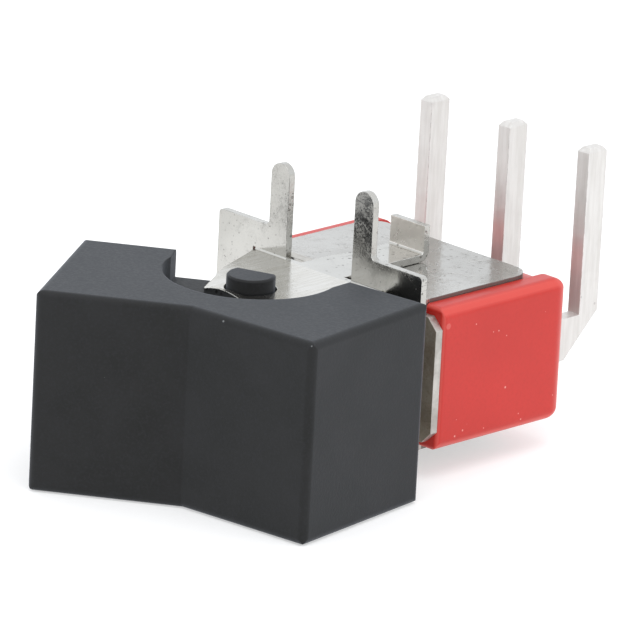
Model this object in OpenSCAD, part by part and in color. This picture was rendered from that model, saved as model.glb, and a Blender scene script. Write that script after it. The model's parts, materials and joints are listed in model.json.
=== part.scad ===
// Right-angle miniature rocker switch, two positions, one common contact.
// The case lies flat under a circuit board: three edge-cut terminals turn up
// through the board and a pronged bracket carries the load of the rocker.
// Switch axes: x runs along the terminal row, y runs from the front plate to
// the back, and z = 0 is the switch's centre plane. seat() then moves the
// origin to the common terminal where it crosses the underside of the board.

/* [Case] */
// Length along the terminal row
case_length = 12.7; // [12:0.1:16]
// Height between the two side faces
case_height = 6.86; // [6.4:0.02:9]
// Depth from the front plate to the back
case_depth = 8.48; // [8.2:0.02:11]
// Wall between the inside and the side faces
case_wall = 0.7; // [0.5:0.05:0.9]
// Thickness of the back wall that holds the terminals
back_wall = 1.8; // [1.6:0.05:1.8]
// Radius on the front edges and along the side faces
case_edge = 0.25; // [0.2:0.05:0.6]
// Radius round the back
case_back_edge = 0.5; // [0.4:0.05:0.8]
// Depth of the sealing resin in the back
seal_depth = 0.7; // [0.4:0.05:0.9]
// Rim left round the sealing resin
seal_rim = 0.95; // [0.9:0.05:1.1]
// Thickness of the insert that seats the lever's ball
insert_depth = 2.5; // [2.3:0.05:2.6]

/* [Frame] */
// Sheet thickness of the frame
frame_sheet = 0.42; // [0.3:0.02:0.5]
// How far the side plates stand above the case
plate_proud = 0.19; // [0:0.01:0.3]
// Width of the side plates
plate_width = 10.3; // [9.6:0.1:10.8]
// Length of the side plates behind the front plate
plate_length = 7.05; // [6.6:0.05:7.1]
// Radius on the rear corners of the side plates
plate_corner = 1.05; // [0.3:0.05:1.4]
// Length of the front plate
web_length = 12.62; // [12:0.02:12.7]
// Height of the front plate
web_height = 6.0; // [5.4:0.05:6.4]
// Corner cut of the front plate
web_cut = 0.55; // [0:0.05:0.8]

/* [Bracket] */
// Sheet thickness of the bracket
bracket_sheet = 0.35; // [0.3:0.01:0.4]
// Overall width of the bracket
bracket_width = 13.12; // [12.6:0.02:14]
// Clear distance from the front plate's rear face to the bracket
bracket_gap = 1.47; // [1.2:0.01:1.6]
// Centre plane to the board seat
seat_height = 5.36; // [5.1:0.02:6]
// Width of a leg beside the ears
leg_sheet_width = 2.3; // [1.6:0.05:2.35]
// Width of a board prong
prong_width = 1.18; // [0.9:0.02:1.4]
// Clear distance between the two prongs
prong_gap = 4.24; // [3.8:0.02:4.6]
// Length of a prong above the board seat
prong_length = 3.1; // [2.4:0.05:4]
// Width of the tongue where it leaves the ear
tongue_root = 2.75; // [2.4:0.05:3.2]
// Width of the tongue's rear stand-off
tongue_width = 2.2; // [1.6:0.05:2.4]
// Front plate's rear face to the stand-off
tongue_reach = 3.95; // [3:0.05:5.5]
// Front plate's rear face to the end of the lower lip
low_lip_reach = 0.35; // [0.1:0.05:0.6]

/* [Ears] */
// Width of each ear where it leaves the legs
ear_root = 8.2; // [7.8:0.1:8.6]
// Width of each ear at its shoulder
ear_shoulder = 5.88; // [5.4:0.02:6]
// Width of each ear at its tip
ear_tip = 2.54; // [2.2:0.02:3]
// Pivot axis back to the shoulder
shoulder_reach = 1.14; // [0.9:0.02:1.4]
// Pivot axis forward to the tip
ear_reach = 1.74; // [1.7:0.02:1.9]
// Radius across the arched lead-in at the tip
lip_radius = 3.66; // [3.2:0.02:4.4]
// Rise angle of the lead-in
lip_angle = 14; // [8:0.5:18]
// Pivot axis forward to where the lead-in starts to rise
lip_start = 0.86; // [0.8:0.02:1]

/* [Terminals] */
// Distance between neighbouring terminals
pitch = 5.08; // [4.9:0.01:5.1]
// Sheet thickness of the terminals
terminal_sheet = 0.72; // [0.6:0.01:0.8]
// Height of the part that leaves the case
terminal_height = 2.05; // [1.6:0.05:2.4]
// Width of the upright leg
leg_width = 1.2; // [1:0.02:1.5]
// Front plate's rear face to the upright leg
leg_reach = 10.1; // [9.6:0.05:13]
// Length of a terminal above the board seat
pin_length = 3.67; // [2.5:0.01:5]
// Cut across the outer corner
corner_cut = 2.1; // [1:0.05:2.4]
// Chamfer at the tips
tip_cut = 0.2; // [0:0.01:0.3]

/* [Rocker] */
// Size across the pivot axis direction
rocker_width = 9.5; // [8.8:0.02:11]
// Distance between the two front tips
tip_span = 13.82; // [12:0.02:15]
// Distance between the two back edges
back_span = 17.46; // [16:0.02:18.4]
// Slope of each half of the front face
face_slope = 13.9; // [8:0.1:18]
// Pivot axis to the crease of the front face
crease_reach = 6.33; // [5.6:0.05:8]
// Pivot axis to the apex of the back edges
back_reach = 2.53; // [2.2:0.01:2.7]
// Front wall thickness
face_wall = 1.45; // [1:0.05:1.7]
// Top and bottom wall thickness
rocker_wall = 1.28; // [0.9:0.01:1.35]
// End wall thickness
end_wall = 1.0; // [0.8:0.05:1.5]
// Radius on the outer edges
rocker_edge = 0.35; // [0.2:0.05:0.6]
// Radius of the sunk opening round the pivot
scallop_radius = 4.06; // [3.9:0.02:4.2]
// Flare of the opening towards the case
scallop_flare = 16; // [15:0.5:20]
// Thickness of the floor in the opening
floor_wall = 1.0; // [0.8:0.05:1.1]
// Radius along the floor's open edge
floor_edge = 0.3; // [0.1:0.05:0.4]
// Front plate's rear face to the pivot axis
pivot_reach = 6.16; // [6:0.02:6.6]
// Diameter of the pivot bosses
boss_d = 2.25; // [1.8:0.05:2.3]
// Side face of the rocker to the boss's end
boss_drop = 0.08; // [0.02:0.02:0.2]
// Width of the hub between the ears, along the terminal row
hub_width = 4.4; // [3.6:0.1:4.8]
// Tilt of the rocker either side of its middle
rocker_angle = 20; // [12:0.5:20]

/* [Mechanism] */
// Diameter of the lever's ball
ball_d = 3.4; // [3.2:0.05:3.5]
// Front plate's rear face to the ball's centre
ball_depth = 0.9; // [0.85:0.01:1]
// Ball centre to knob centre
lever_arm = 4.4; // [4.1:0.05:4.5]
// Diameter of the knob in the rocker's slot
knob_d = 1.6; // [1.4:0.05:1.7]
// Diameter of the stem between ball and knob
stem_d = 1.0; // [0.8:0.05:1.1]
// Outside diameter of the plunger sleeve
sleeve_d = 2.1; // [1.9:0.05:2.1]
// Diameter of the plunger
plunger_d = 1.2; // [1:0.05:1.3]
// Wire diameter of the spring
wire_d = 0.16; // [0.12:0.01:0.18]
// Front plate's rear face to the fulcrum edge
fulcrum_depth = 4.95; // [4.9:0.01:5.05]
// Thickness of the contact blade
blade_sheet = 0.25; // [0.2:0.01:0.3]
// Width of the contact blade
blade_width = 2.5; // [2.2:0.05:2.8]
// Length of the contact blade
blade_length = 10.6; // [10.4:0.05:10.8]
// Middle of the case to the contacts
contact_reach = 4.6; // [4.5:0.02:4.7]
// Tilt of the contact blade either side of its middle
blade_angle = 5; // [3:0.5:6]

/* [Fits] */
// Radial clearance of a moulded boss in its ear
boss_fit = 0.09; // [0.05:0.01:0.1]
// Radial clearance of the ball in its socket
run_fit = 0.06; // [0.03:0.01:0.08]
// Gap between an ear and the floor under it
ear_fit = 0.22; // [0.15:0.01:0.3]
// Gap between parts that only seat on each other
seat_fit = 0.03; // [0.02:0.01:0.05]
// Gap beside parts that swing
swing_fit = 0.1; // [0.08:0.01:0.15]

/* [Hidden] */
$fn = 64;
far = 40;
half_l = case_length / 2;
half_h = case_height / 2;
plate_top = half_h + plate_proud;
plate_low = plate_top - frame_sheet;
plate_half = plate_width / 2;
cavity_x = half_l - case_wall + 0.1;
cavity_z = plate_low - case_wall;
back_y = case_depth - back_wall;
hole_r = boss_d / 2 + boss_fit;
bracket_front = -bracket_gap - bracket_sheet;
tongue_low = plate_top + seat_fit;
tongue_top = tongue_low + bracket_sheet;
bend_in = 0.1;
bend_out = bend_in + bracket_sheet;
bend_y = bracket_front - bend_in;
neck_half = prong_gap / 2 - 0.02;
leg_inner = bracket_width / 2 - leg_sheet_width;
row_y = leg_reach + leg_width / 2;
floor_z = tongue_low - ear_fit;
hub_half = floor_z - floor_wall;
inner_half = rocker_width / 2 - rocker_wall;
boss_top = rocker_width / 2 - boss_drop;
boss_cut = 0.08;
tip_half = tip_span / 2;
back_half = back_span / 2;
slope_t = tan(face_slope);
tip_y = -crease_reach - tip_half * slope_t;
wing_y = back_reach - back_half * slope_t;
end_slope = atan((back_half - tip_half) / (wing_y - tip_y));
end_reach = tip_half * cos(end_slope) - tip_y * sin(end_slope);
pivot_gap = pivot_reach + ball_depth;
slot_reach = pivot_gap * cos(rocker_angle)
    - sqrt(pow(lever_arm, 2) - pow(pivot_gap * sin(rocker_angle), 2));
lever_angle = asin(slot_reach * sin(rocker_angle) / lever_arm);
hub_end = slot_reach + 0.25;
slot_half = knob_d / 2 + swing_fit;
blade_face = fulcrum_depth - blade_sheet;
nose_r = plunger_d / 2;
nose_arm = blade_face - ball_depth - nose_r - seat_fit;
plunger_r = plunger_d / 2;
bore_r = plunger_r + 0.05;
bore_start = 0.6;
sleeve_end = 2.7;
plunger_start = 1.85;
blade_contact_t = 0.2;
dome_r = 2.2;
dome_y = fulcrum_depth + (dome_r + 0.02 + blade_contact_t
    + contact_reach * sin(blade_angle)) / cos(blade_angle);
contact_y = dome_y - dome_r;
contact_t = 0.4;
pad_y = contact_y + contact_t;
pad_t = 0.42;
saddle_half = blade_width / 2 - 0.2;
saddle_back = fulcrum_depth + 0.52;

// Moves the origin to the common terminal at the board's underside
module seat() translate([0, -row_y, -seat_height]) children();

// Turns its children about an axis along z at depth y
module swing(y, angle) translate([0, y, 0]) rotate([0, 0, angle]) children();

// Stands a flat outline drawn as (y, z) up and extrudes it along x
module along_x(length) rotate([90, 0, 90])
    linear_extrude(height = length, center = true) children();

// Stands a flat outline drawn as (x, z) up, with its front at y
module along_y(y, length) translate([0, y + length, 0]) rotate([90, 0, 0])
    linear_extrude(height = length) children();

function unit(v) = v / norm(v);
function half_turn(a, p, b) = acos(unit(a - p) * unit(b - p)) / 2;
function corner_centre(a, p, b, r) = p
    + unit(unit(a - p) + unit(b - p)) * r / sin(half_turn(a, p, b));
function corner_ends(a, p, b, r) = r == 0 ? [p] :
    [p + unit(a - p) * r / tan(half_turn(a, p, b)),
     p + unit(b - p) * r / tan(half_turn(a, p, b))];

// A convex outline with its own radius on each corner
module rounded(points, radii) {
    n = len(points);
    polygon([for (i = [0:n - 1]) each corner_ends(points[(i + n - 1) % n],
        points[i], points[(i + 1) % n], radii[i])]);
    for (i = [0:n - 1])
        if (radii[i] > 0)
            translate(corner_centre(points[(i + n - 1) % n], points[i],
                points[(i + 1) % n], radii[i]))
                circle(r = radii[i]);
}

// A rectangle from corner low to corner high with one radius
module rounded_box2(low, high, r) rounded(
    [low, [high[0], low[1]], high, [low[0], high[1]]], [r, r, r, r]);

// The case: an open-fronted moulding with sunk side faces for the frame,
// a resin pocket in its back and three slots for the terminals
module case_body() {
    recess_half = plate_half + seat_fit;
    back = case_back_edge;
    difference() {
        intersection() {
            linear_extrude(height = case_height, center = true)
                rounded([[-half_l, 0], [half_l, 0], [half_l, case_depth],
                    [-half_l, case_depth]], [case_edge, case_edge, back, back]);
            along_x(case_length)
                rounded([[0, -half_h], [case_depth, -half_h], [case_depth, half_h],
                    [0, half_h]], [case_edge, back, back, case_edge]);
            along_y(0, case_depth)
                rounded_box2([-half_l, -half_h], [half_l, half_h], case_edge);
        }
        // sunk side faces, rounded over at the back
        difference() {
            translate([-recess_half, -1, -half_h - 1])
                cube([2 * recess_half, case_depth + 2, case_height + 2]);
            along_x(far) rounded([[-2, -plate_low], [case_depth, -plate_low],
                [case_depth, plate_low], [-2, plate_low]], [0, back, back, 0]);
        }
        // slots for the lugs that hook the side plates
        for (side = [-1, 1])
            translate([-2.05, plate_length - frame_sheet - seat_fit,
                side > 0 ? plate_low - 0.5 : -plate_low - 0.5])
                cube([4.1, frame_sheet + 2 * seat_fit, 1]);
        // inside, with a ledge that stops the insert
        translate([-cavity_x, -1, -cavity_z])
            cube([2 * cavity_x, 1 + insert_depth + seat_fit, 2 * cavity_z]);
        translate([-cavity_x + 0.15, 0, -cavity_z + 0.25])
            cube([2 * cavity_x - 0.3, back_y, 2 * cavity_z - 0.5]);
        // terminal slots
        for (x = [-pitch, 0, pitch])
            translate([x - terminal_sheet / 2 - seat_fit, back_y - 1,
                -terminal_height / 2 - seat_fit])
                cube([terminal_sheet + 2 * seat_fit, back_wall + 2,
                    terminal_height + 2 * seat_fit]);
        // resin pocket
        translate([-half_l + seal_rim, case_depth - seal_depth, -half_h + seal_rim])
            cube([case_length - 2 * seal_rim, seal_depth + 1,
                case_height - 2 * seal_rim]);
    }
}

// Resin that seals the terminals into the back of the case
module seal_body() {
    fit = seat_fit / 2;
    difference() {
        translate([-half_l + seal_rim + fit, case_depth - seal_depth + fit,
            -half_h + seal_rim + fit])
            cube([case_length - 2 * seal_rim - 2 * fit, seal_depth - 0.15,
                case_height - 2 * seal_rim - 2 * fit]);
        for (x = [-pitch, 0, pitch])
            translate([x - terminal_sheet / 2 - fit, case_depth - 2,
                -terminal_height / 2 - fit])
                cube([terminal_sheet + 2 * fit, 3, terminal_height + 2 * fit]);
    }
}

// Insert behind the front plate: the socket for the lever's ball
module insert_body() {
    difference() {
        translate([-cavity_x + seat_fit, seat_fit, -cavity_z + seat_fit])
            cube([2 * (cavity_x - seat_fit), insert_depth - seat_fit,
                2 * (cavity_z - seat_fit)]);
        translate([0, ball_depth, 0]) sphere(r = ball_d / 2 + run_fit);
        // straight way in for the ball
        translate([0, ball_depth, 0]) rotate([90, 0, 0])
            cylinder(r = ball_d / 2 + run_fit, h = 2);
        // flare that lets the sleeve swing
        translate([0, ball_depth, 0]) rotate([-90, 0, 0])
            cylinder(r1 = sleeve_d / 2 + 0.1, r2 = sleeve_d / 2 + 1.05, h = 2.6);
        // cored pockets that lighten the insert
        for (side = [-1, 1])
            translate([side * (cavity_x + 2.6) / 2 - (cavity_x - 3.4) / 2, -1,
                -cavity_z + 0.8])
                cube([cavity_x - 3.4, insert_depth - 0.1, 2 * cavity_z - 1.6]);
    }
}

// One side plate with the rear lug that hooks into the case
module side_plate() {
    translate([0, 0, plate_low]) linear_extrude(height = frame_sheet)
        rounded([[-plate_half, -frame_sheet], [plate_half, -frame_sheet],
            [plate_half, plate_length], [-plate_half, plate_length]],
            [0.25, 0.25, plate_corner, plate_corner]);
    translate([-2, plate_length - frame_sheet, plate_low - 0.45])
        cube([4, frame_sheet, 0.45 + frame_sheet / 2]);
}

// Front plate outline: cut corners, raised middle that meets the side plates
module web_outline() {
    w = web_length / 2;
    h = web_height / 2;
    polygon([[-w + web_cut, -h], [w - web_cut, -h], [w, -h + web_cut],
        [w, h - web_cut], [w - web_cut, h], [-w + web_cut, h],
        [-w, h - web_cut], [-w, -h + web_cut]]);
    translate([-plate_half + 0.3, -plate_low - 0.01])
        square([plate_width - 0.6, 2 * plate_low + 0.02]);
}

// Frame: a front plate and two side plates that clasp the case, in one pressing
module frame_body() {
    along_y(-frame_sheet, frame_sheet) difference() {
        web_outline();
        circle(r = ball_d / 2 - 0.2);
    }
    side_plate();
    mirror([0, 0, 1]) side_plate();
}

// Bracket's upright sheet seen from the front: shoulders, prongs and legs
module bracket_outline() {
    w = bracket_width / 2;
    g = prong_gap / 2;
    r = prong_width / 2;
    foot = bend_out - plate_top - seat_fit - bracket_sheet;
    for (side = [0, 1]) mirror([side, 0]) {
        rounded([[g, tongue_low + bend_out], [w, tongue_low + bend_out],
            [w, seat_height], [g, seat_height]], [0, 0, 0.2, 0]);
        translate([leg_inner, foot])
            square([leg_sheet_width, tongue_low + bend_out - foot + 0.1]);
        // foot of the leg, carried in beside the lower ear
        translate([g, foot]) square([leg_inner - g + 0.1, 0.65]);
        translate([g, seat_height - 0.5])
            square([prong_width, prong_length + 0.5 - r]);
        translate([g + r, seat_height + prong_length - r]) circle(r = r);
        // small root fillet of the prong
        translate([g + prong_width, seat_height]) difference() {
            translate([-0.05, -0.05]) square(0.3);
            translate([0.25, 0.25]) circle(r = 0.25);
        }
    }
}

// Bend from a level sheet, with its underside at z = low, into the upright one
module bend_profile(low) {
    translate([bend_y - 0.2, low]) square([0.21, bracket_sheet]);
    translate([bend_y, low + bend_out]) intersection() {
        difference() {
            circle(r = bend_out);
            circle(r = bend_in);
        }
        translate([0, -bend_out]) square(bend_out);
    }
    translate([bracket_front, low + bend_out - 0.01]) square([bracket_sheet, 0.2]);
}

// Outline of an ear in its own plane, from the bend to the tip
module ear_outline() {
    shoulder_y = -pivot_reach + shoulder_reach;
    rounded([[-ear_root / 2, bend_y], [-ear_shoulder / 2, shoulder_y],
        [-ear_tip / 2, -pivot_reach - ear_reach],
        [ear_tip / 2, -pivot_reach - ear_reach],
        [ear_shoulder / 2, shoulder_y], [ear_root / 2, bend_y]],
        [0, 1.2, 0.2, 0.2, 1.2, 0]);
}

// Tilted rod whose top rises towards the tip of an ear, level at lip_start
module lip_rod(top, r) translate([0, -pivot_reach - lip_start, top])
    rotate([90 - lip_angle, 0, 0]) translate([0, -r, -4]) cylinder(r = r, h = 8, $fn = 128);

// Pivot ear whose tip is arched up into a lead-in, underside at z = low
module ear(low) difference() {
    union() {
        translate([0, 0, low]) linear_extrude(height = bracket_sheet) ear_outline();
        intersection() {
            translate([0, 0, low + 0.1]) linear_extrude(height = 1) ear_outline();
            lip_rod(low + bracket_sheet, lip_radius);
        }
    }
    lip_rod(low, lip_radius - bracket_sheet);
    translate([0, -pivot_reach, low - 1]) cylinder(r = hole_r, h = 3);
}

// Level strip that runs back from an ear: a neck, then a tapered tongue
module tongue_plan(root, tip, taper_end, reach) {
    translate([-neck_half, bend_y - 0.3])
        square([2 * neck_half, -bracket_gap - 0.08 - bend_y + 0.3]);
    polygon([[-root / 2, bend_y], [root / 2, bend_y], [root / 2, 0.3],
        [tip / 2, taper_end], [tip / 2, reach], [-tip / 2, reach],
        [-tip / 2, taper_end], [-root / 2, 0.3]]);
}

// Tongue profile along y: level run and upturned stand-off
module tongue_profile() {
    t = bracket_sheet;
    r = 0.5;
    y1 = tongue_reach + t;
    translate([bend_y - 0.3, tongue_low]) square([y1 - r - bend_y + 0.3, t]);
    translate([y1 - t, tongue_low + r]) square([t, seat_height - tongue_low - r]);
    translate([y1 - r, tongue_low + r]) intersection() {
        difference() {
            circle(r = r);
            circle(r = r - t);
        }
        translate([0, -r]) square(r);
    }
}

// Support bracket: one pressing with two pivot ears, the prongs and a tongue
// that reaches back over the frame to a stand-off
module bracket_body() {
    w = bracket_width / 2;
    g = prong_gap / 2;
    low = -tongue_top;
    along_y(bracket_front, bracket_sheet) bracket_outline();
    ear(tongue_low);
    mirror([0, 0, 1]) ear(tongue_low);
    intersection() {
        along_x(far) tongue_profile();
        translate([0, 0, tongue_low - 1]) linear_extrude(height = far)
            tongue_plan(tongue_root, tongue_width, 2, far);
    }
    // lower lip under the frame
    translate([0, 0, low]) linear_extrude(height = bracket_sheet)
        tongue_plan(tongue_root, tongue_root, 0.3, low_lip_reach);
    for (side = [-1, 1]) {
        // bends from the ears into the upright sheet
        translate([side * (g + ear_root / 2) / 2, 0, 0])
            along_x(ear_root / 2 - g) bend_profile(tongue_low);
        translate([side * (g + w) / 2, 0, 0]) along_x(w - g) bend_profile(low);
    }
    // corners where the legs run into the lower ear
    translate([0, 0, low]) linear_extrude(height = bracket_sheet)
        polygon([[-w, bend_y], [w, bend_y], [w, bend_y - 0.2], [ear_root / 2, bend_y - 0.7],
            [-ear_root / 2, bend_y - 0.7], [-w, bend_y - 0.2]]);
}

// Edge-cut terminal in its own plane, from inner depth y to the tip
module terminal_outline(y) {
    h = terminal_height / 2;
    z1 = seat_height + pin_length;
    y1 = leg_reach + leg_width;
    polygon([[y, -h], [y1 - corner_cut, -h], [y1, -h + corner_cut],
        [y1, z1 - tip_cut], [y1 - tip_cut, z1], [leg_reach + tip_cut, z1],
        [leg_reach, z1 - tip_cut], [leg_reach, h], [y, h]]);
}

// Terminal plate with both edges of its tip chamfered across the sheet
module terminal_blade(y) {
    t = terminal_sheet / 2;
    z1 = seat_height + pin_length;
    intersection() {
        along_x(terminal_sheet) terminal_outline(y);
        along_y(0, far)
            polygon([[-t, -far], [t, -far], [t, z1 - tip_cut],
                [t - tip_cut / 1.5, z1], [-t + tip_cut / 1.5, z1], [-t, z1 - tip_cut]]);
    }
}

// Side terminal: plate plus the pad that carries its contact
module side_terminal(side) {
    translate([side * pitch, 0, 0]) terminal_blade(pad_y + 0.1);
    pad_x0 = contact_reach - 0.7;
    pad_x1 = pitch + terminal_sheet / 2;
    mirror([side < 0 ? 1 : 0, 0, 0])
        translate([pad_x0, pad_y, -terminal_height / 2])
            cube([pad_x1 - pad_x0, pad_t, terminal_height]);
}

// Domed silver contact on a side terminal
module contact_button(side) {
    intersection() {
        translate([side * contact_reach, dome_y, 0]) sphere(r = dome_r);
        translate([side * contact_reach, pad_y, 0]) rotate([90, 0, 0])
            cylinder(d = 1.3, h = 1);
    }
}

// Saddle on the common terminal: fulcrum edge and two guide cheeks
module saddle_body() {
    edge_r = 0.25;
    base_y = saddle_back - 0.3;
    cheek_y = fulcrum_depth - 0.75;
    translate([0, saddle_back - edge_r, 0])
        cylinder(r = edge_r, h = 2 * saddle_half + 0.2, center = true);
    translate([-0.6, base_y, -saddle_half - 0.35])
        cube([1.2, 0.3, 2 * saddle_half + 0.7]);
    for (side = [-1, 1])
        translate([-0.6, cheek_y, side > 0 ? saddle_half + 0.05 : -saddle_half - 0.35])
            cube([1.2, saddle_back - cheek_y, 0.3]);
}

// Half of the rocker's outline, seen along its pivot
module cap_half() rounded([[0, -crease_reach], [tip_half, tip_y],
    [back_half, wing_y], [0, back_reach]], [0, rocker_edge, rocker_edge, 0]);

// Opening round the pivot, grown by a margin: round in front, flared behind
module scallop(grow) {
    r = scallop_radius + grow;
    x1 = r + tan(scallop_flare) * (back_reach + 1);
    circle(r = r);
    polygon([[-r, 0], [r, 0], [x1, back_reach + 1], [-x1, back_reach + 1]]);
}

// Half of the rocker's outer form, with soft edges along all its faces
module rocker_half() {
    w = rocker_width / 2;
    e = rocker_edge;
    intersection() {
        linear_extrude(height = rocker_width, center = true) cap_half();
        rotate([0, 0, -face_slope]) along_x(far)
            rounded_box2([-crease_reach * cos(face_slope), -w],
                [back_reach * cos(face_slope), w], e);
        rotate([0, 0, -end_slope]) along_y(-far / 2, far)
            rounded_box2([-far / 2, -w], [end_reach, w], e);
    }
}

// Half of the space behind the rocker's front wall
module hollow_half() {
    front = -(crease_reach - face_wall / cos(face_slope));
    x1 = tip_half - end_wall / cos(end_slope) + tan(end_slope) * face_wall;
    x2 = x1 + tan(end_slope) * 14;
    linear_extrude(height = 2 * inner_half, center = true)
        polygon([[0, front], [x1, front - x1 * slope_t],
            [x2, front - x1 * slope_t + 14], [0, 12]]);
}

// Half of the cut above the opening's floor, whose back edge stays rounded
module scallop_cut_half() intersection() {
    linear_extrude(height = far) intersection() {
        scallop(0);
        translate([-0.01, -far / 2]) square(far);
    }
    rotate([0, 0, -face_slope]) along_x(far) difference() {
        translate([-far / 2, 1]) square(far);
        rounded_box2([-far / 2, -floor_z],
            [back_reach * cos(face_slope), floor_z], floor_edge);
    }
}

// Rocker: hollow V-faced cap with floored openings for the ears, a hub with
// the lever's slot, and pivot bosses that snap into the ears
module rocker_body() {
    difference() {
        union() {
            difference() {
                for (side = [0, 1]) mirror([side, 0, 0]) rocker_half();
                for (side = [0, 1]) mirror([side, 0, 0]) hollow_half();
            }
            // floors of the openings
            for (side = [0, 1]) mirror([0, 0, side])
                translate([0, 0, hub_half])
                    linear_extrude(height = max(inner_half + 0.05 - hub_half, floor_wall))
                    intersection() {
                        scallop(0.9);
                        union() for (half = [0, 1]) mirror([half, 0]) cap_half();
                    }
            // hub
            linear_extrude(height = 2 * hub_half + 0.1, center = true)
                rounded([[-hub_width / 2, -crease_reach + face_wall / 2],
                    [hub_width / 2, -crease_reach + face_wall / 2],
                    [hub_width / 2, hub_end], [-hub_width / 2, hub_end]],
                    [0, 0, 0.4, 0.4]);
        }
        for (side = [0, 1]) mirror([0, 0, side]) for (half = [0, 1])
            mirror([half, 0, 0]) scallop_cut_half();
        // slot for the lever's knob
        translate([-slot_half, slot_reach - 1.6, -slot_half - 0.3])
            cube([2 * slot_half, 6, 2 * slot_half + 0.6]);
    }
    // pivot bosses with a ramp on the side that enters first
    for (side = [0, 1]) mirror([0, 0, side]) difference() {
        translate([0, 0, floor_z - 0.3]) union() {
            cylinder(d = boss_d, h = boss_top - floor_z + 0.3 - boss_cut);
            translate([0, 0, boss_top - floor_z + 0.3 - boss_cut])
                cylinder(r1 = boss_d / 2, r2 = boss_d / 2 - boss_cut, h = boss_cut);
        }
        translate([-2, boss_d / 2 - 0.62, boss_top]) rotate([-50, 0, 0])
            cube([4, 3, 3]);
    }
}

// Lever: a turned pin with a knob, a stem, a ball and a bored sleeve
module lever_body() {
    r = ball_d / 2;
    k = knob_d / 2;
    rotate([-90, 0, 0]) difference() {
        union() {
            sphere(r = r);
            translate([0, 0, -lever_arm]) sphere(r = k);
            translate([0, 0, -lever_arm]) cylinder(d = stem_d, h = lever_arm);
            cylinder(d = sleeve_d, h = sleeve_end);
        }
        translate([0, 0, bore_start]) cylinder(r = bore_r, h = sleeve_end);
    }
}

// Plunger: a pin with a round nose that rides on the contact blade
module plunger_body() rotate([-90, 0, 0]) {
    translate([0, 0, plunger_start]) cylinder(r = plunger_r, h = nose_arm - plunger_start);
    translate([0, 0, nose_arm]) sphere(r = nose_r);
}

// Compression spring between the bore's end and the plunger
module spring_body() {
    turns = 4;
    steps = 16;
    sides = 6;
    r = bore_r - wire_d / 2 - 0.04;
    y0 = bore_start + wire_d / 2 + 0.01;
    y1 = plunger_start - wire_d / 2 - 0.01;
    n = turns * steps;
    points = [for (i = [0:n]) for (j = [0:sides - 1])
        let (a = 360 * i / steps, b = 360 * j / sides,
            q = r + wire_d / 2 * cos(b))
        [q * cos(a), y0 + (y1 - y0) * i / n + wire_d / 2 * sin(b), q * sin(a)]];
    skin = [for (i = [0:n - 1]) for (j = [0:sides - 1])
        let (k = (j + 1) % sides)
        [i * sides + j, i * sides + k, (i + 1) * sides + k, (i + 1) * sides + j]];
    polyhedron(points = points, faces = concat(skin,
        [[for (j = [sides - 1:-1:0]) j]], [[for (j = [0:sides - 1]) n * sides + j]]));
}

// Contact blade: a see-saw strip with notches for the saddle's cheeks
module blade_body() {
    neck = saddle_half - 0.05;
    translate([0, -blade_sheet, 0]) rotate([-90, 0, 0])
        linear_extrude(height = blade_sheet) difference() {
            rounded_box2([-blade_length / 2, -blade_width / 2],
                [blade_length / 2, blade_width / 2], 0.4);
            for (side = [-1, 1])
                translate([-0.8, side > 0 ? neck : -neck - 2]) square([1.6, 2]);
        }
}

// Silver disc on the underside of the blade's end
module blade_contact(side)
    translate([side * contact_reach, 0, 0]) rotate([-90, 0, 0])
        cylinder(d = 1.3, h = blade_contact_t);

module case() color([0.80, 0.13, 0.11]) seat() case_body();
module pivot_insert() color([0.12, 0.12, 0.13]) seat() insert_body();
module terminal_seal() color([0.45, 0.08, 0.07]) seat() seal_body();
module frame() color([0.77, 0.77, 0.75]) seat() frame_body();
module support_bracket() color([0.80, 0.80, 0.78]) seat() bracket_body();
module left_terminal() color([0.83, 0.83, 0.82]) seat() side_terminal(-1);
module common_terminal() color([0.83, 0.83, 0.82]) seat()
    terminal_blade(saddle_back);
module right_terminal() color([0.83, 0.83, 0.82]) seat() side_terminal(1);
module left_contact() color([0.90, 0.90, 0.92]) seat() contact_button(-1);
module right_contact() color([0.90, 0.90, 0.92]) seat() contact_button(1);
module fulcrum_saddle() color([0.80, 0.62, 0.35]) seat() saddle_body();
module rocker() color([0.16, 0.16, 0.17]) seat()
    swing(-pivot_reach, rocker_angle) rocker_body();
module lever() color([0.88, 0.87, 0.82]) seat()
    swing(ball_depth, -lever_angle) lever_body();
module plunger() color([0.90, 0.90, 0.86]) seat()
    swing(ball_depth, -lever_angle) plunger_body();
module spring() color([0.60, 0.60, 0.62]) seat()
    swing(ball_depth, -lever_angle) spring_body();
module contact_blade() color([0.85, 0.62, 0.38]) seat()
    swing(fulcrum_depth, blade_angle) blade_body();
module blade_contact_left() color([0.90, 0.90, 0.92]) seat()
    swing(fulcrum_depth, blade_angle) blade_contact(-1);
module blade_contact_right() color([0.90, 0.90, 0.92]) seat()
    swing(fulcrum_depth, blade_angle) blade_contact(1);

case();
pivot_insert();
terminal_seal();
frame();
support_bracket();
left_terminal();
common_terminal();
right_terminal();
left_contact();
right_contact();
fulcrum_saddle();
rocker();
lever();
plunger();
spring();
contact_blade();
blade_contact_left();
blade_contact_right();
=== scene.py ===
import json
from math import hypot, pi, radians, tan

import bmesh
import bpy
from mathutils import Matrix, Vector


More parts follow.
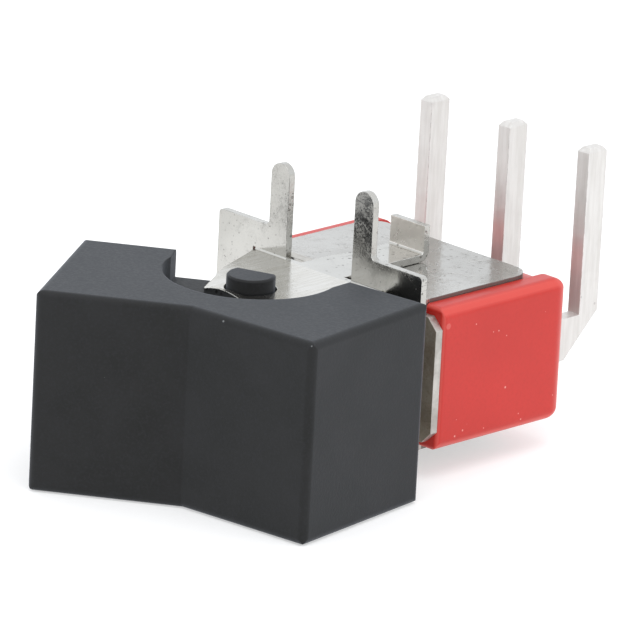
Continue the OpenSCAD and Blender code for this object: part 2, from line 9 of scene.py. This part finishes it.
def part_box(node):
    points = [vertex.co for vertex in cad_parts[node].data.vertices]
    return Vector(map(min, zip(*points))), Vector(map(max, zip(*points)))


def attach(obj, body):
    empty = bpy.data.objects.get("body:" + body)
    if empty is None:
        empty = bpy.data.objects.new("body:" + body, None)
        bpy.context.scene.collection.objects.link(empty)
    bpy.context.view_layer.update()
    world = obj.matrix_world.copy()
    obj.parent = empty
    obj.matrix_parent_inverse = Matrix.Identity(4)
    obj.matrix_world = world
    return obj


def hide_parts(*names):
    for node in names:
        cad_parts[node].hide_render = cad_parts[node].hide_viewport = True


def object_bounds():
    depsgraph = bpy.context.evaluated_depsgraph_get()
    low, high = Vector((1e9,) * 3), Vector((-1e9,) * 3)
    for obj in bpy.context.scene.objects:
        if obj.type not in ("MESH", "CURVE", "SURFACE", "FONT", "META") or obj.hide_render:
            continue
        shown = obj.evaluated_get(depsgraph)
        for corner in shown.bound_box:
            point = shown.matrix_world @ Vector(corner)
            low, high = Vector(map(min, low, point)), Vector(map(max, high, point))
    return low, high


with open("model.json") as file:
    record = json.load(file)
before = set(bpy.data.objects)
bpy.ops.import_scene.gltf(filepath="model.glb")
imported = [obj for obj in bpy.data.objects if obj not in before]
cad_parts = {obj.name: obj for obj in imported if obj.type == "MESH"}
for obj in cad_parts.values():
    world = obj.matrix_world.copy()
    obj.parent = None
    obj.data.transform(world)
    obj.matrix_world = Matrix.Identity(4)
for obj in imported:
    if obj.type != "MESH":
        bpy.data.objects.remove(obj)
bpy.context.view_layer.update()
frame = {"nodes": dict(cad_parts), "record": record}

# Right-angle rocker switch: materials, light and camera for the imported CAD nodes, and
# a case with softer corners. Lengths are in metres, in the row frame of the CAD model.

MM = 0.001
X, Y, Z = range(3)
SIDES = (-1, 1)


# ---------------------------------------------------------------- camera
# Fitted to the photograph.
CAMERA_AT = (0.2408570, -0.2601717, 0.1072398)
CAMERA_PITCH = radians(72.19389)    # 0 looks straight down
CAMERA_ROLL = radians(3.02293)
CAMERA_YAW = radians(44.16951)
CAMERA_LENS = 445.19                # millimetres, as is the sensor
CAMERA_SENSOR = 36.0
CAMERA_CLIP = (0.01, 10.0)


def add_camera():
    data = bpy.data.cameras.new("view_camera")
    data.lens = CAMERA_LENS
    data.sensor_width = CAMERA_SENSOR
    data.clip_start, data.clip_end = CAMERA_CLIP
    camera = bpy.data.objects.new("view_camera", data)
    camera.matrix_world = (Matrix.Translation(CAMERA_AT)
                           @ Matrix.Rotation(CAMERA_YAW, 4, "Z")
                           @ Matrix.Rotation(CAMERA_PITCH, 4, "X")
                           @ Matrix.Rotation(CAMERA_ROLL, 4, "Z"))
    bpy.context.scene.collection.objects.link(camera)
    bpy.context.scene.camera = camera


# ---------------------------------------------------------------- node graphs
BEVEL_SAMPLES = 6
NOISE_LEVELS = (0.3, 0.7)   # most of a noise lies between these
SPOT_EDGE = 0.35            # soft border of a spot, as a share of the largest spot
DOT_CORE = 0.7              # share of a dot's radius that is at full strength


def dimmed(colour, share):
    return tuple(share * part for part in colour)


class Graph:
    """A material whose colour, roughness and relief come from noise nodes.

    Scales are in features per metre. A mask is an output that runs from 0 to 1.
    """

    def __init__(self, name, bevel, **constants):
        self.material = bpy.data.materials.new(name)
        self.material.use_nodes = True
        self.tree = self.material.node_tree
        self.tree.nodes.clear()
        output = self.add("ShaderNodeOutputMaterial")
        self.shader = self.add("ShaderNodeBsdfPrincipled")
        self.link(self.shader.outputs[0], output.inputs[0])
        for socket, value in constants.items():
            self.shader.inputs[socket.replace("_", " ")].default_value = value
        self.place = self.add("ShaderNodeTexCoord").outputs["Object"]
        soft = self.add("ShaderNodeBevel", samples=BEVEL_SAMPLES)
        soft.inputs["Radius"].default_value = bevel
        self.rounded = self.normal = soft.outputs[0]

    def add(self, kind, **properties):
        node = self.tree.nodes.new(kind)
        for key, value in properties.items():
            setattr(node, key, value)
        return node

    def link(self, source, target):
        self.tree.links.new(source, target)

    def put(self, socket, value):
        """Links an output, or sets a plain value."""
        if isinstance(value, bpy.types.NodeSocket):
            self.link(value, socket)
        else:
            socket.default_value = value

    # Patterns

    def stretched(self, scale, turn=(0, 0, 0), shift=(0, 0, 0)):
        """The place in the object, scaled, turned and shifted for a pattern."""
        node = self.add("ShaderNodeMapping")
        node.inputs["Scale"].default_value = scale
        node.inputs["Rotation"].default_value = turn
        node.inputs["Location"].default_value = shift
        self.link(self.place, node.inputs["Vector"])
        return node.outputs[0]

    def noise(self, scale, detail=3.0, rough=0.5, vector=None, warp=0.0):
        """Noise with finer layers, as many as detail, each rough times as strong."""
        node = self.add("ShaderNodeTexNoise")
        self.link(vector or self.place, node.inputs["Vector"])
        node.inputs["Scale"].default_value = scale
        node.inputs["Detail"].default_value = detail
        node.inputs["Roughness"].default_value = rough
        node.inputs["Distortion"].default_value = warp
        return node.outputs["Fac"]

    def spots(self, scale, size, share):
        """Soft round spots of many sizes, in a share of the cells."""
        cells = self.add("ShaderNodeTexVoronoi")
        self.link(self.place, cells.inputs["Vector"])
        cells.inputs["Scale"].default_value = scale
        split = self.add("ShaderNodeSeparateColor")
        self.link(cells.outputs["Color"], split.inputs[0])
        chosen = self.math("LESS_THAN", split.outputs[0], share)
        reach = self.math("SUBTRACT", self.times(split.outputs[1], size),
                          cells.outputs["Distance"])
        return self.times(self.span(reach, 0.0, size * SPOT_EDGE), chosen)

    def dot(self, centre, radius):
        """One soft round mark at a place."""
        node = self.add("ShaderNodeVectorMath", operation="DISTANCE")
        self.link(self.place, node.inputs[0])
        node.inputs[1].default_value = centre
        return self.span(node.outputs["Value"], radius, DOT_CORE * radius)

    def streaks(self, turn, share):
        """Short fine scratches along one direction, in a few patches."""
        along = self.stretched((1.0, 0.09, 0.8), (0.35 * turn, -0.5 * turn, turn))
        fine = self.noise(7500.0, detail=1.0, rough=0.4, vector=along)
        elsewhere = self.stretched((1, 1, 1), shift=(turn, 0, 0))
        slow = self.noise(420.0, detail=2.0, vector=elsewhere)
        return self.times(self.span(fine, 0.68, 0.76),
                          self.span(slow, 0.54, 0.62, to_high=share))

    # Where on the part

    def axes(self, vector):
        """The three parts of a place or a direction."""
        split = self.add("ShaderNodeSeparateXYZ")
        self.link(vector, split.inputs[0])
        return split.outputs[0], split.outputs[1], split.outputs[2]

    def past(self, axis, line, fade):
        """Rises past a line along an axis, or before it if the fade is negative."""
        return self.span(self.axes(self.place)[axis], line, line + fade)

    def facing(self, axis, low, high):
        """Maps how squarely the flat surface faces along an axis to a mask."""
        normal = self.add("ShaderNodeNewGeometry").outputs["True Normal"]
        return self.span(self.math("ABSOLUTE", self.axes(normal)[axis]), low, high)

    def curved(self):
        """Rises where the surface lies along none of the axes."""
        normal = self.add("ShaderNodeNewGeometry").outputs["Normal"]
        parts = [self.math("ABSOLUTE", part) for part in self.axes(normal)]
        return self.span(self.most(*parts), 0.99, 0.86)

    def edges(self, low, high):
        """Rises where the surface turns over an edge."""
        geometry = self.add("ShaderNodeNewGeometry")
        match = self.add("ShaderNodeVectorMath", operation="DOT_PRODUCT")
        self.link(self.rounded, match.inputs[0])
        self.link(geometry.outputs["Normal"], match.inputs[1])
        return self.span(self.math("SUBTRACT", 1.0, match.outputs["Value"]), low, high)

    # Arithmetic

    def span(self, value, low, high, to_low=0.0, to_high=1.0):
        """Maps low..high smoothly to a new range, and holds it beyond its ends."""
        node = self.add("ShaderNodeMapRange", interpolation_type="SMOOTHSTEP")
        self.put(node.inputs["Value"], value)
        for socket, number in (("From Min", low), ("From Max", high),
                               ("To Min", to_low), ("To Max", to_high)):
            node.inputs[socket].default_value = number
        return node.outputs[0]

    def math(self, operation, *values):
        node = self.add("ShaderNodeMath", operation=operation)
        for socket, value in zip(node.inputs, values):
            self.put(socket, value)
        return node.outputs[0]

    def chain(self, operation, *values):
        result = values[0]
        for value in values[1:]:
            result = self.math(operation, result, value)
        return result

    def times(self, *values):
        return self.chain("MULTIPLY", *values)

    def plus(self, *values):
        return self.chain("ADD", *values)

    def most(self, *values):
        return self.chain("MAXIMUM", *values)

    # Results

    def mix(self, factor, a, b):
        node = self.add("ShaderNodeMix", data_type="RGBA")
        self.put(node.inputs["Factor"], factor)
        for socket, value in ((node.inputs[6], a), (node.inputs[7], b)):
            if isinstance(value, tuple):
                value = (*value, 1.0)
            self.put(socket, value)
        return node.outputs[2]

    def shades(self, pattern, a, b, levels=NOISE_LEVELS):
        """Goes from colour a to colour b as a pattern rises through its levels."""
        return self.mix(self.span(pattern, *levels), a, b)

    def over(self, tone, mask, strength, colour):
        """Lays a colour over a tone where a mask is high."""
        return self.mix(self.times(mask, strength), tone, colour)

    def varied(self, pattern, low, high):
        """A value that varies from low to high with a noise."""
        return self.span(pattern, *NOISE_LEVELS, low, high)

    def bump(self, height, distance, strength):
        """Adds the relief of a pattern, this deep, to the relief so far."""
        node = self.add("ShaderNodeBump")
        node.inputs["Strength"].default_value = strength
        node.inputs["Distance"].default_value = distance
        self.link(height, node.inputs["Height"])
        self.link(self.normal, node.inputs["Normal"])
        self.normal = node.outputs[0]

    def finish(self, colour, roughness):
        self.put(self.shader.inputs["Base Color"], colour)
        self.put(self.shader.inputs["Roughness"], roughness)
        self.link(self.normal, self.shader.inputs["Normal"])
        return self.material


# ---------------------------------------------------------------- plastics
def rocker_plastic():
    """Charcoal moulding with a fine spark texture and a bluish sheen."""
    g = Graph("charcoal_plastic", bevel=0.10 * MM, Specular_IOR_Level=0.19,
              Sheen_Weight=0.16, Sheen_Roughness=0.45,
              Sheen_Tint=(0.78, 0.86, 1.0, 1.0))
    cloud = g.noise(330.0, detail=4.0, rough=0.6)
    grain = g.noise(7500.0, detail=2.0, rough=0.6)
    fine = g.noise(21000.0, detail=1.0)
    tone = g.shades(cloud, (0.0105, 0.0108, 0.0102), (0.0150, 0.0150, 0.0150))
    tone = g.mix(g.span(grain, 0.40, 0.75, to_high=0.6), tone, (0.021, 0.021, 0.023))
    # Paler bluish edges: a painted highlight.
    highlit_edges = g.times(g.edges(0.004, 0.10), g.span(cloud, 0.2, 0.8, to_low=0.1))
    tone = g.over(tone, highlit_edges, 0.22, (0.050, 0.050, 0.056))
    dust = g.most(g.spots(760.0, size=0.070, share=0.10),
                  g.spots(2100.0, size=0.12, share=0.035))
    tone = g.over(tone, dust, 0.75, (0.20, 0.21, 0.21))
    g.bump(grain, 0.010 * MM, strength=0.55)
    g.bump(fine, 0.004 * MM, strength=0.5)
    return g.finish(tone, g.varied(grain, 0.50, 0.62))


GATE_BACK = 0.34 * MM       # moulding mark on the end face, from the front
GATE_DOWN = 0.85 * MM       # and from the side face
GATE_RADIUS = 0.17 * MM


def case_plastic():
    """Glossy red moulding with pale specks, a moulding mark and a painted highlight on its
    edges and fillets.
    """
    g = Graph("red_plastic", bevel=0.12 * MM, Specular_IOR_Level=0.44)
    cloud = g.noise(210.0)
    grain = g.noise(5200.0, rough=0.6)
    tone = g.shades(cloud, (0.462, 0.0135, 0.0070), (0.515, 0.0185, 0.0115))
    tone = g.mix(g.span(grain, 0.4, 0.8, to_high=0.45), tone, (0.41, 0.012, 0.006))
    # Pinker edges and rounded fillets: a painted highlight.
    highlit_edges = g.most(g.edges(0.004, 0.12), g.curved())
    tone = g.over(tone, highlit_edges, 0.80, (0.60, 0.062, 0.047))
    specks = g.most(g.spots(1900.0, size=0.13, share=0.09),
                    g.spots(3300.0, size=0.18, share=0.02))
    tone = g.over(tone, specks, 0.6, (0.76, 0.40, 0.35))
    low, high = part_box("case")
    gate = g.dot((high[X], low[Y] + GATE_BACK, high[Z] - GATE_DOWN), GATE_RADIUS)
    tone = g.over(tone, gate, 0.35, (0.66, 0.20, 0.17))
    g.bump(g.noise(900.0, detail=2.0), 0.010 * MM, strength=0.4)
    g.bump(grain, 0.004 * MM, strength=0.5)
    return g.finish(tone, g.varied(cloud, 0.30, 0.40))


def plain_plastic(name, low, high, roughness, scale=2600.0):
    """A moulding or casting between two tones, for the pieces inside."""
    g = Graph(name, bevel=0.04 * MM)
    grain = g.noise(scale, rough=0.55)
    cloud = g.noise(0.2 * scale)
    g.bump(grain, 0.006 * MM, strength=0.5)
    return g.finish(g.shades(grain, low, high),
                    g.varied(cloud, roughness - 0.05, roughness + 0.07))


# ---------------------------------------------------------------- metals
SHEET_BEVEL = 0.05 * MM
METAL_EDGE = (0.02, 0.2)    # the turns of an edge where its painted highlight starts and is full


def tinned_sheet(g, light, shade, gloss, wave, mottle, pits, wear=1.0):
    """Bright tinned sheet: shallow waves, dull patches, short marks and pits.

    The gloss is the range of roughness, the wave the height of the slow waves, and
    mottle, pits and wear are the strengths of the marks. Returns the colour and the
    roughness, which a zone of the part may change before the finish.
    """
    slow = g.noise(260.0, detail=2.0)
    blotch = g.noise(1500.0, detail=4.0, rough=0.62, warp=0.6)
    peel = g.noise(4600.0, rough=0.6)
    fine = g.noise(8200.0, rough=0.65)
    dull = g.times(g.span(fine, 0.40, 0.62),
                   g.span(blotch, 0.36, 0.62, to_low=0.25), wear)
    marks = g.most(g.streaks(0.55, 1.0), g.streaks(-0.9, 0.7))
    pit = g.most(g.spots(4200.0, size=0.46, share=0.8 * pits),
                 g.spots(1800.0, size=0.20, share=0.30))
    pit = g.times(pit, g.span(blotch, 0.32, 0.50))

    tone = g.shades(slow, shade, light)
    tone = g.mix(g.span(blotch, 0.50, 0.74, to_high=mottle), tone, dimmed(shade, 0.74))
    tone = g.over(tone, marks, 0.45, dimmed(shade, 0.45))
    tone = g.over(tone, pit, pits, (0.10, 0.095, 0.085))
    # Edges: a painted highlight, broken by noise into darker bits of painted shade.
    edge_highlight_and_shade = g.shades(g.noise(1900.0, rough=0.6), dimmed(shade, 0.45),
                   (0.88, 0.88, 0.86), levels=(0.42, 0.56))
    tone = g.over(tone, g.edges(*METAL_EDGE), 0.65, edge_highlight_and_shade)

    patches = g.plus(g.times(blotch, 0.6), g.times(slow, 0.4))
    rough = g.plus(g.span(patches, 0.35, 0.68, *gloss), g.times(dull, 0.42 * mottle),
                   g.times(marks, 0.15))
    g.bump(slow, wave, strength=1.0)
    g.bump(g.times(peel, wear), 0.012 * MM, strength=mottle)
    g.bump(g.plus(marks, pit), -0.005 * MM, strength=0.8)
    return tone, rough


CLEAN_HEIGHT = -0.7 * MM    # the bracket's tin is nearly clean up to here
WORN_HEIGHT = 0.4 * MM      # and fully worn from here on
CLEAN_WEAR = 0.28
EAR_AHEAD = 1.45 * MM       # the wiped ears start this far in front of the frame
EAR_FADE = 0.05 * MM
TIP_DEPTH = 0.75 * MM       # the stand-off, from the bracket's back end
TIP_FADE = 0.10 * MM


def bracket_steel():
    """The bracket's tin: worn prongs, finely wiped pivot ears, a pale stand-off."""
    g = Graph("bracket_sheet", bevel=SHEET_BEVEL, Metallic=1.0)
    wear = g.span(g.axes(g.place)[Z], CLEAN_HEIGHT, WORN_HEIGHT, to_low=CLEAN_WEAR)
    tone, rough = tinned_sheet(g, (0.590, 0.582, 0.552), (0.500, 0.492, 0.464),
                               gloss=(0.09, 0.17), wave=0.014 * MM, mottle=0.52,
                               pits=0.8, wear=wear)
    tone = g.over(tone, wear, 0.40, (0.40, 0.39, 0.365))

    ear_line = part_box("frame")[0][Y] - EAR_AHEAD
    ear = g.times(g.past(Y, ear_line, -EAR_FADE), g.facing(Z, 0.6, 0.8))
    grain = g.noise(5200.0, detail=2.0, rough=0.6, vector=g.stretched((1.0, 0.06, 1.0)))
    wiped = g.shades(grain, (0.560, 0.540, 0.492), (0.635, 0.620, 0.585),
                     levels=(0.35, 0.65))
    tone = g.over(tone, ear, 0.85, wiped)

    tip_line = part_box("support_bracket")[1][Y] - TIP_DEPTH
    tip = g.times(g.past(Y, tip_line, TIP_FADE), g.facing(Y, 0.80, 0.95))
    tone = g.over(tone, tip, 0.7, (0.86, 0.81, 0.75))

    rough = g.plus(rough, g.times(wear, 0.05), g.times(ear, 0.05), g.times(tip, 0.16))
    return g.finish(tone, rough)


WEB_DEPTH = 0.60 * MM       # the frame's web, with a little to spare
PLATE_DEPTH = 0.50 * MM     # the side plate's sheet, with a little to spare
FACE_DEPTH = 0.06 * MM      # what counts as the web's front face
FACE_FADE = 0.03 * MM
ZONE_FADE = 0.10 * MM


def frame_steel():
    """The frame's tin: brown and dull in front, partly tarnish and partly a painted
    reflection, and painted shade on the plates' cut edges.
    """
    g = Graph("frame_sheet", bevel=SHEET_BEVEL, Metallic=1.0)
    tone, rough = tinned_sheet(g, (0.478, 0.468, 0.445), (0.400, 0.389, 0.366),
                               gloss=(0.07, 0.17), wave=0.018 * MM, mottle=0.45,
                               pits=0.45)
    # Fine creases, in some areas, where a noise passes through its middle level.
    level = g.math("SUBTRACT", g.noise(1000.0, detail=1.0, rough=0.4, warp=0.9), 0.5)
    crease = g.span(g.math("ABSOLUTE", level), 0.035, 0.0)
    area = g.span(g.noise(480.0, detail=1.0), 0.52, 0.60)
    g.bump(g.times(crease, area), 0.009 * MM, strength=0.9)

    web_face, plate_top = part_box("frame")[0][Y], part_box("frame")[1][Z]
    web_back = web_face + WEB_DEPTH
    cut = g.times(g.past(Y, web_back, ZONE_FADE), g.facing(Z, 0.6, 0.4))
    edge = g.times(g.past(Y, web_back, -ZONE_FADE), g.facing(Y, 0.8, 0.6))
    front = g.times(g.past(Y, web_face + FACE_DEPTH, -FACE_FADE), g.facing(Y, 0.6, 0.8),
                    g.past(Z, plate_top - PLATE_DEPTH, -ZONE_FADE))
    # The web's front face is brown: partly tarnish, partly a painted reflection of the
    # case and the gap.
    stain = g.noise(900.0, detail=4.0, rough=0.6)
    brown = g.shades(stain, (0.32, 0.275, 0.22), (0.45, 0.405, 0.34))
    grey = g.shades(stain, (0.40, 0.385, 0.355), (0.55, 0.535, 0.505),
                    levels=(0.35, 0.65))
    # The plates' cut edges are darkened: painted shade of the gap against the case.
    tone = g.over(tone, cut, 0.8, (0.16, 0.135, 0.125))
    tone = g.mix(front, tone, brown)
    tone = g.mix(edge, tone, grey)
    dull = g.most(g.times(cut, 0.35), g.times(front, 0.48), g.times(edge, 0.30))
    return g.finish(tone, g.plus(rough, dull))


def plated_metal(name, light, shade, gloss, peel=0.0, metallic=1.0):
    """Satin plated metal with a fine drawn grain and faint stains.

    The gloss is the range of roughness, and peel the height of a ripple.
    """
    g = Graph(name, bevel=0.06 * MM, Metallic=metallic)
    grain = g.noise(4200.0, rough=0.6, vector=g.stretched((1.0, 1.0, 0.10)))
    cloud = g.noise(700.0, rough=0.55)
    tone = g.shades(grain, shade, light)
    tone = g.mix(g.span(cloud, 0.55, 0.8, to_high=0.3), tone, dimmed(shade, 0.8))
    pits = g.spots(2200.0, size=0.20, share=0.08)
    tone = g.over(tone, pits, 0.45, (0.30, 0.28, 0.27))
    # Edges: a painted highlight, broken by noise into darker bits of painted shade.
    edge_highlight_and_shade = g.shades(g.noise(3800.0, detail=2.0), dimmed(shade, 0.75),
                   (0.92, 0.91, 0.89), levels=(0.40, 0.56))
    tone = g.over(tone, g.edges(*METAL_EDGE), 0.7, edge_highlight_and_shade)
    if peel:
        g.bump(g.noise(2600.0, rough=0.6), peel, strength=1.0)
    g.bump(grain, 0.003 * MM, strength=0.6)
    g.bump(cloud, 0.010 * MM, strength=0.3)
    return g.finish(tone, g.varied(cloud, *gloss))


# ---------------------------------------------------------------- materials
def make_materials():
    """One material for each slot in the record."""
    return {
        "case_plastic": case_plastic(),
        "rocker_plastic": rocker_plastic(),
        "frame_steel": frame_steel(),
        "bracket_steel": bracket_steel(),
        "inner_plastic": plain_plastic(
            "inner_black", (0.012, 0.012, 0.012), (0.025, 0.025, 0.025), 0.5),
        "plunger_plastic": plain_plastic(
            "natural_acetal", (0.72, 0.71, 0.66), (0.80, 0.79, 0.74), 0.35),
        "resin": plain_plastic(
            "cast_resin", (0.20, 0.022, 0.018), (0.27, 0.032, 0.026), 0.22,
            scale=900.0),
        "terminal_metal": plated_metal(
            "silvered_terminal", (0.692, 0.674, 0.654), (0.612, 0.592, 0.568),
            gloss=(0.36, 0.50), peel=0.010 * MM, metallic=0.58),
        "contact_silver": plated_metal(
            "contact_silver", (0.88, 0.875, 0.87), (0.80, 0.795, 0.785),
            gloss=(0.12, 0.22)),
        "copper_alloy": plated_metal(
            "spring_brass", (0.80, 0.60, 0.34), (0.70, 0.50, 0.27), gloss=(0.18, 0.30)),
        "lever_metal": plated_metal(
            "lever_nickel", (0.74, 0.70, 0.62), (0.64, 0.60, 0.52), gloss=(0.16, 0.28)),
        "spring_steel": plated_metal(
            "spring_wire", (0.55, 0.55, 0.56), (0.42, 0.42, 0.43), gloss=(0.18, 0.30)),
    }


def dress_nodes(materials):
    """Gives every CAD node the material of its slot."""
    for part in frame["record"]["subparts"]:
        node = frame["nodes"][part["node"]]
        node.data.materials.clear()
        node.data.materials.append(materials[part["material_slot"]])


# ---------------------------------------------------------------- case
# The moulded case is rounder along its sides and at its back than the CAD solid.
SIDE_ROUND = 0.55 * MM      # along the side faces
BACK_ROUND = 0.92 * MM      # round the back
SINK = 0.23 * MM            # the plate's recess below the side face
SINK_HALF = 5.18 * MM       # half the recess's width
SINK_RUN = 1.40 * MM        # length of the recess's fall to the back
SINK_FALL = 0.72 * MM       # depth of that fall
ARC_STEPS = 6               # cuts in each fillet
SNAP = 0.004 * MM           # a cut this near to a corner goes through it
TOUCH = 0.001 * MM          # still counts as on the recess's floor or side
CREASE = radians(26.0)      # sharper corners stay sharp


def arc_cuts(depth):
    """Distances from a face that split a fillet into even angles."""
    return [depth * (1.0 - tan(pi / 4 * k / ARC_STEPS)) for k in range(ARC_STEPS)]


def soften_recess(y, z, half, floor):
    """Moves a point of the recess inside the round fall to its back."""
    run = (y - half.y + SINK_RUN) / SINK_RUN
    fall = (z - floor + SINK_FALL) / SINK_FALL
    reach = hypot(run, fall)
    if run > 0 and fall > 0 and reach > 1:
        y = half.y - SINK_RUN + SINK_RUN * run / reach
        z = floor - SINK_FALL + SINK_FALL * fall / reach
    return y, z


def soften_outside(x, y, z, half):
    """Moves a point of the outside inside the side and back fillets."""
    over_x, over_z = x - half.x + SIDE_ROUND, z - half.z + SIDE_ROUND
    if over_x > 0 and over_z > 0:
        reach = hypot(over_x, over_z)
        away, out_x, out_z = reach - SIDE_ROUND, over_x / reach, over_z / reach
    elif over_x > over_z:
        away, out_x, out_z = over_x - SIDE_ROUND, 1.0, 0.0
    else:
        away, out_x, out_z = over_z - SIDE_ROUND, 0.0, 1.0
    new = min(away, 0.0)
    side, back = new + BACK_ROUND, y - half.y + BACK_ROUND
    reach = hypot(side, back)
    if side > 0 and back > 0 and reach > BACK_ROUND:
        new = BACK_ROUND * side / reach - BACK_ROUND
        y = half.y - BACK_ROUND + BACK_ROUND * back / reach
    return x + (new - away) * out_x, y, z + (new - away) * out_z


def soften(place, half):
    """Moves a point, measured from the case's middle, inside its fillets."""
    flip_x, flip_z = (-1.0 if part < 0 else 1.0 for part in (place.x, place.z))
    x, y, z = abs(place.x), place.y, abs(place.z)
    floor = half.z - SINK
    if x < SINK_HALF + TOUCH and floor - SINK_FALL < z < floor + TOUCH:
        y, z = soften_recess(y, z, half, floor)
    else:
        x, y, z = soften_outside(x, y, z, half)
    return Vector((flip_x * x, y, flip_z * z))


def case_cuts(half):
    """The planes, as axis and place from the middle, that the fillets need."""
    cuts = [(axis, side * (half[axis] - cut)) for axis in (X, Z) for side in SIDES
            for cut in arc_cuts(BACK_ROUND) + arc_cuts(SIDE_ROUND)]
    cuts += [(Z, side * (half.z - SINK - cut)) for side in SIDES
             for cut in arc_cuts(SINK_FALL)]
    cuts += [(Y, half.y - cut) for cut in arc_cuts(BACK_ROUND) + arc_cuts(SINK_RUN)]
    cuts += [(X, side * SINK_HALF) for side in SIDES]
    return cuts


def add_case(material):
    """Adds a copy of the case, cut and softened, in place of the CAD node."""
    low, high = (Vector(corner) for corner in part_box("case"))
    middle, half = (low + high) / 2, (high - low) / 2
    shell = bmesh.new()
    shell.from_mesh(frame["nodes"]["case"].data)
    for axis, at in case_cuts(half):
        normal, place = Vector(), middle.copy()
        normal[axis] = 1.0
        place[axis] += at
        everything = shell.verts[:] + shell.edges[:] + shell.faces[:]
        bmesh.ops.bisect_plane(shell, geom=everything, dist=SNAP,
                               plane_co=place, plane_no=normal)
    for vert in shell.verts:
        vert.co = middle + soften(vert.co - middle, half)
    mesh = bpy.data.meshes.new("case_shell")
    shell.to_mesh(mesh)
    shell.free()
    mesh.shade_smooth()
    mesh.set_sharp_from_angle(angle=CREASE)
    mesh.materials.append(material)
    piece = bpy.data.objects.new("case_shell", mesh)
    bpy.context.scene.collection.objects.link(piece)
    even = piece.modifiers.new("even_normals", "WEIGHTED_NORMAL")
    even.keep_sharp = True
    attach(piece, "switch_body")
    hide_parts("case")


# ---------------------------------------------------------------- stage
FLOOR_GAP = 0.02 * MM
FLOOR_HALF = 1.2
FLOOR_GLOW = 0.42           # the floor is a pale light table
FLOOR_ROUGHNESS = 0.8

SKY_STRENGTH = 1.28
SKY = (                     # height, from 0 at the horizon to 1 overhead, and colour
    (0.0, (0.84, 0.835, 0.82)),
    (0.12, (0.88, 0.90, 0.92)),
    (0.24, (0.93, 0.96, 1.0)),
    (0.45, (0.93, 0.955, 0.99)),
    (1.0, (0.88, 0.885, 0.89)),
)

LIGHTS = (                  # name, place and power
    ("key_above", (0.10, -0.05, 0.42), 0.50),
    ("side_fill", (0.45, 0.10, 0.16), 0.22),
)
LIGHT_SIZE = 0.30
LIGHT_AIM = (0.0, -0.01, -0.005)


def add_floor():
    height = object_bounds()[0][Z] - FLOOR_GAP
    corners = [(x * FLOOR_HALF, y * FLOOR_HALF, height)
               for x, y in ((-1, -1), (1, -1), (1, 1), (-1, 1))]
    mesh = bpy.data.meshes.new("floor")
    mesh.from_pydata(corners, [], [(0, 1, 2, 3)])
    floor = bpy.data.objects.new("floor", mesh)
    g = Graph("pale_floor", bevel=0.0, Specular_IOR_Level=0.1,
              Emission_Color=(1.0, 1.0, 1.0, 1.0), Emission_Strength=FLOOR_GLOW)
    mottle = g.noise(40.0, detail=2.0)
    tone = g.shades(mottle, (0.61, 0.61, 0.61), (0.64, 0.64, 0.64))
    mesh.materials.append(g.finish(tone, FLOOR_ROUGHNESS))
    bpy.context.scene.collection.objects.link(floor)


def add_world():
    world = bpy.data.worlds.new("studio")
    bpy.context.scene.world = world
    world.use_nodes = True
    tree = world.node_tree
    tree.nodes.clear()
    place, split, ramp, back, output = (tree.nodes.new(kind) for kind in (
        "ShaderNodeTexCoord", "ShaderNodeSeparateXYZ", "ShaderNodeValToRGB",
        "ShaderNodeBackground", "ShaderNodeOutputWorld"))
    tree.links.new(place.outputs["Generated"], split.inputs[0])
    tree.links.new(split.outputs["Z"], ramp.inputs[0])
    tree.links.new(ramp.outputs[0], back.inputs["Color"])
    tree.links.new(back.outputs[0], output.inputs[0])
    back.inputs["Strength"].default_value = SKY_STRENGTH
    stops = ramp.color_ramp.elements
    stops[0].position, stops[1].position = SKY[0][0], SKY[-1][0]
    for height, _ in SKY[1:-1]:
        stops.new(height)
    for stop, (height, colour) in zip(stops, SKY):
        stop.position = height
        stop.color = (*colour, 1.0)


def add_lights():
    for name, at, power in LIGHTS:
        data = bpy.data.lights.new(name, "AREA")
        data.shape = "SQUARE"
        data.size = LIGHT_SIZE
        data.energy = power
        light = bpy.data.objects.new(name, data)
        light.location = at
        aim = Vector(LIGHT_AIM) - Vector(at)
        light.rotation_euler = aim.to_track_quat("-Z", "Y").to_euler()
        bpy.context.scene.collection.objects.link(light)


add_camera()
materials = make_materials()
dress_nodes(materials)
add_case(materials["case_plastic"])
add_floor()
add_world()
add_lights()
bpy.context.scene.view_settings.view_transform = "Standard"
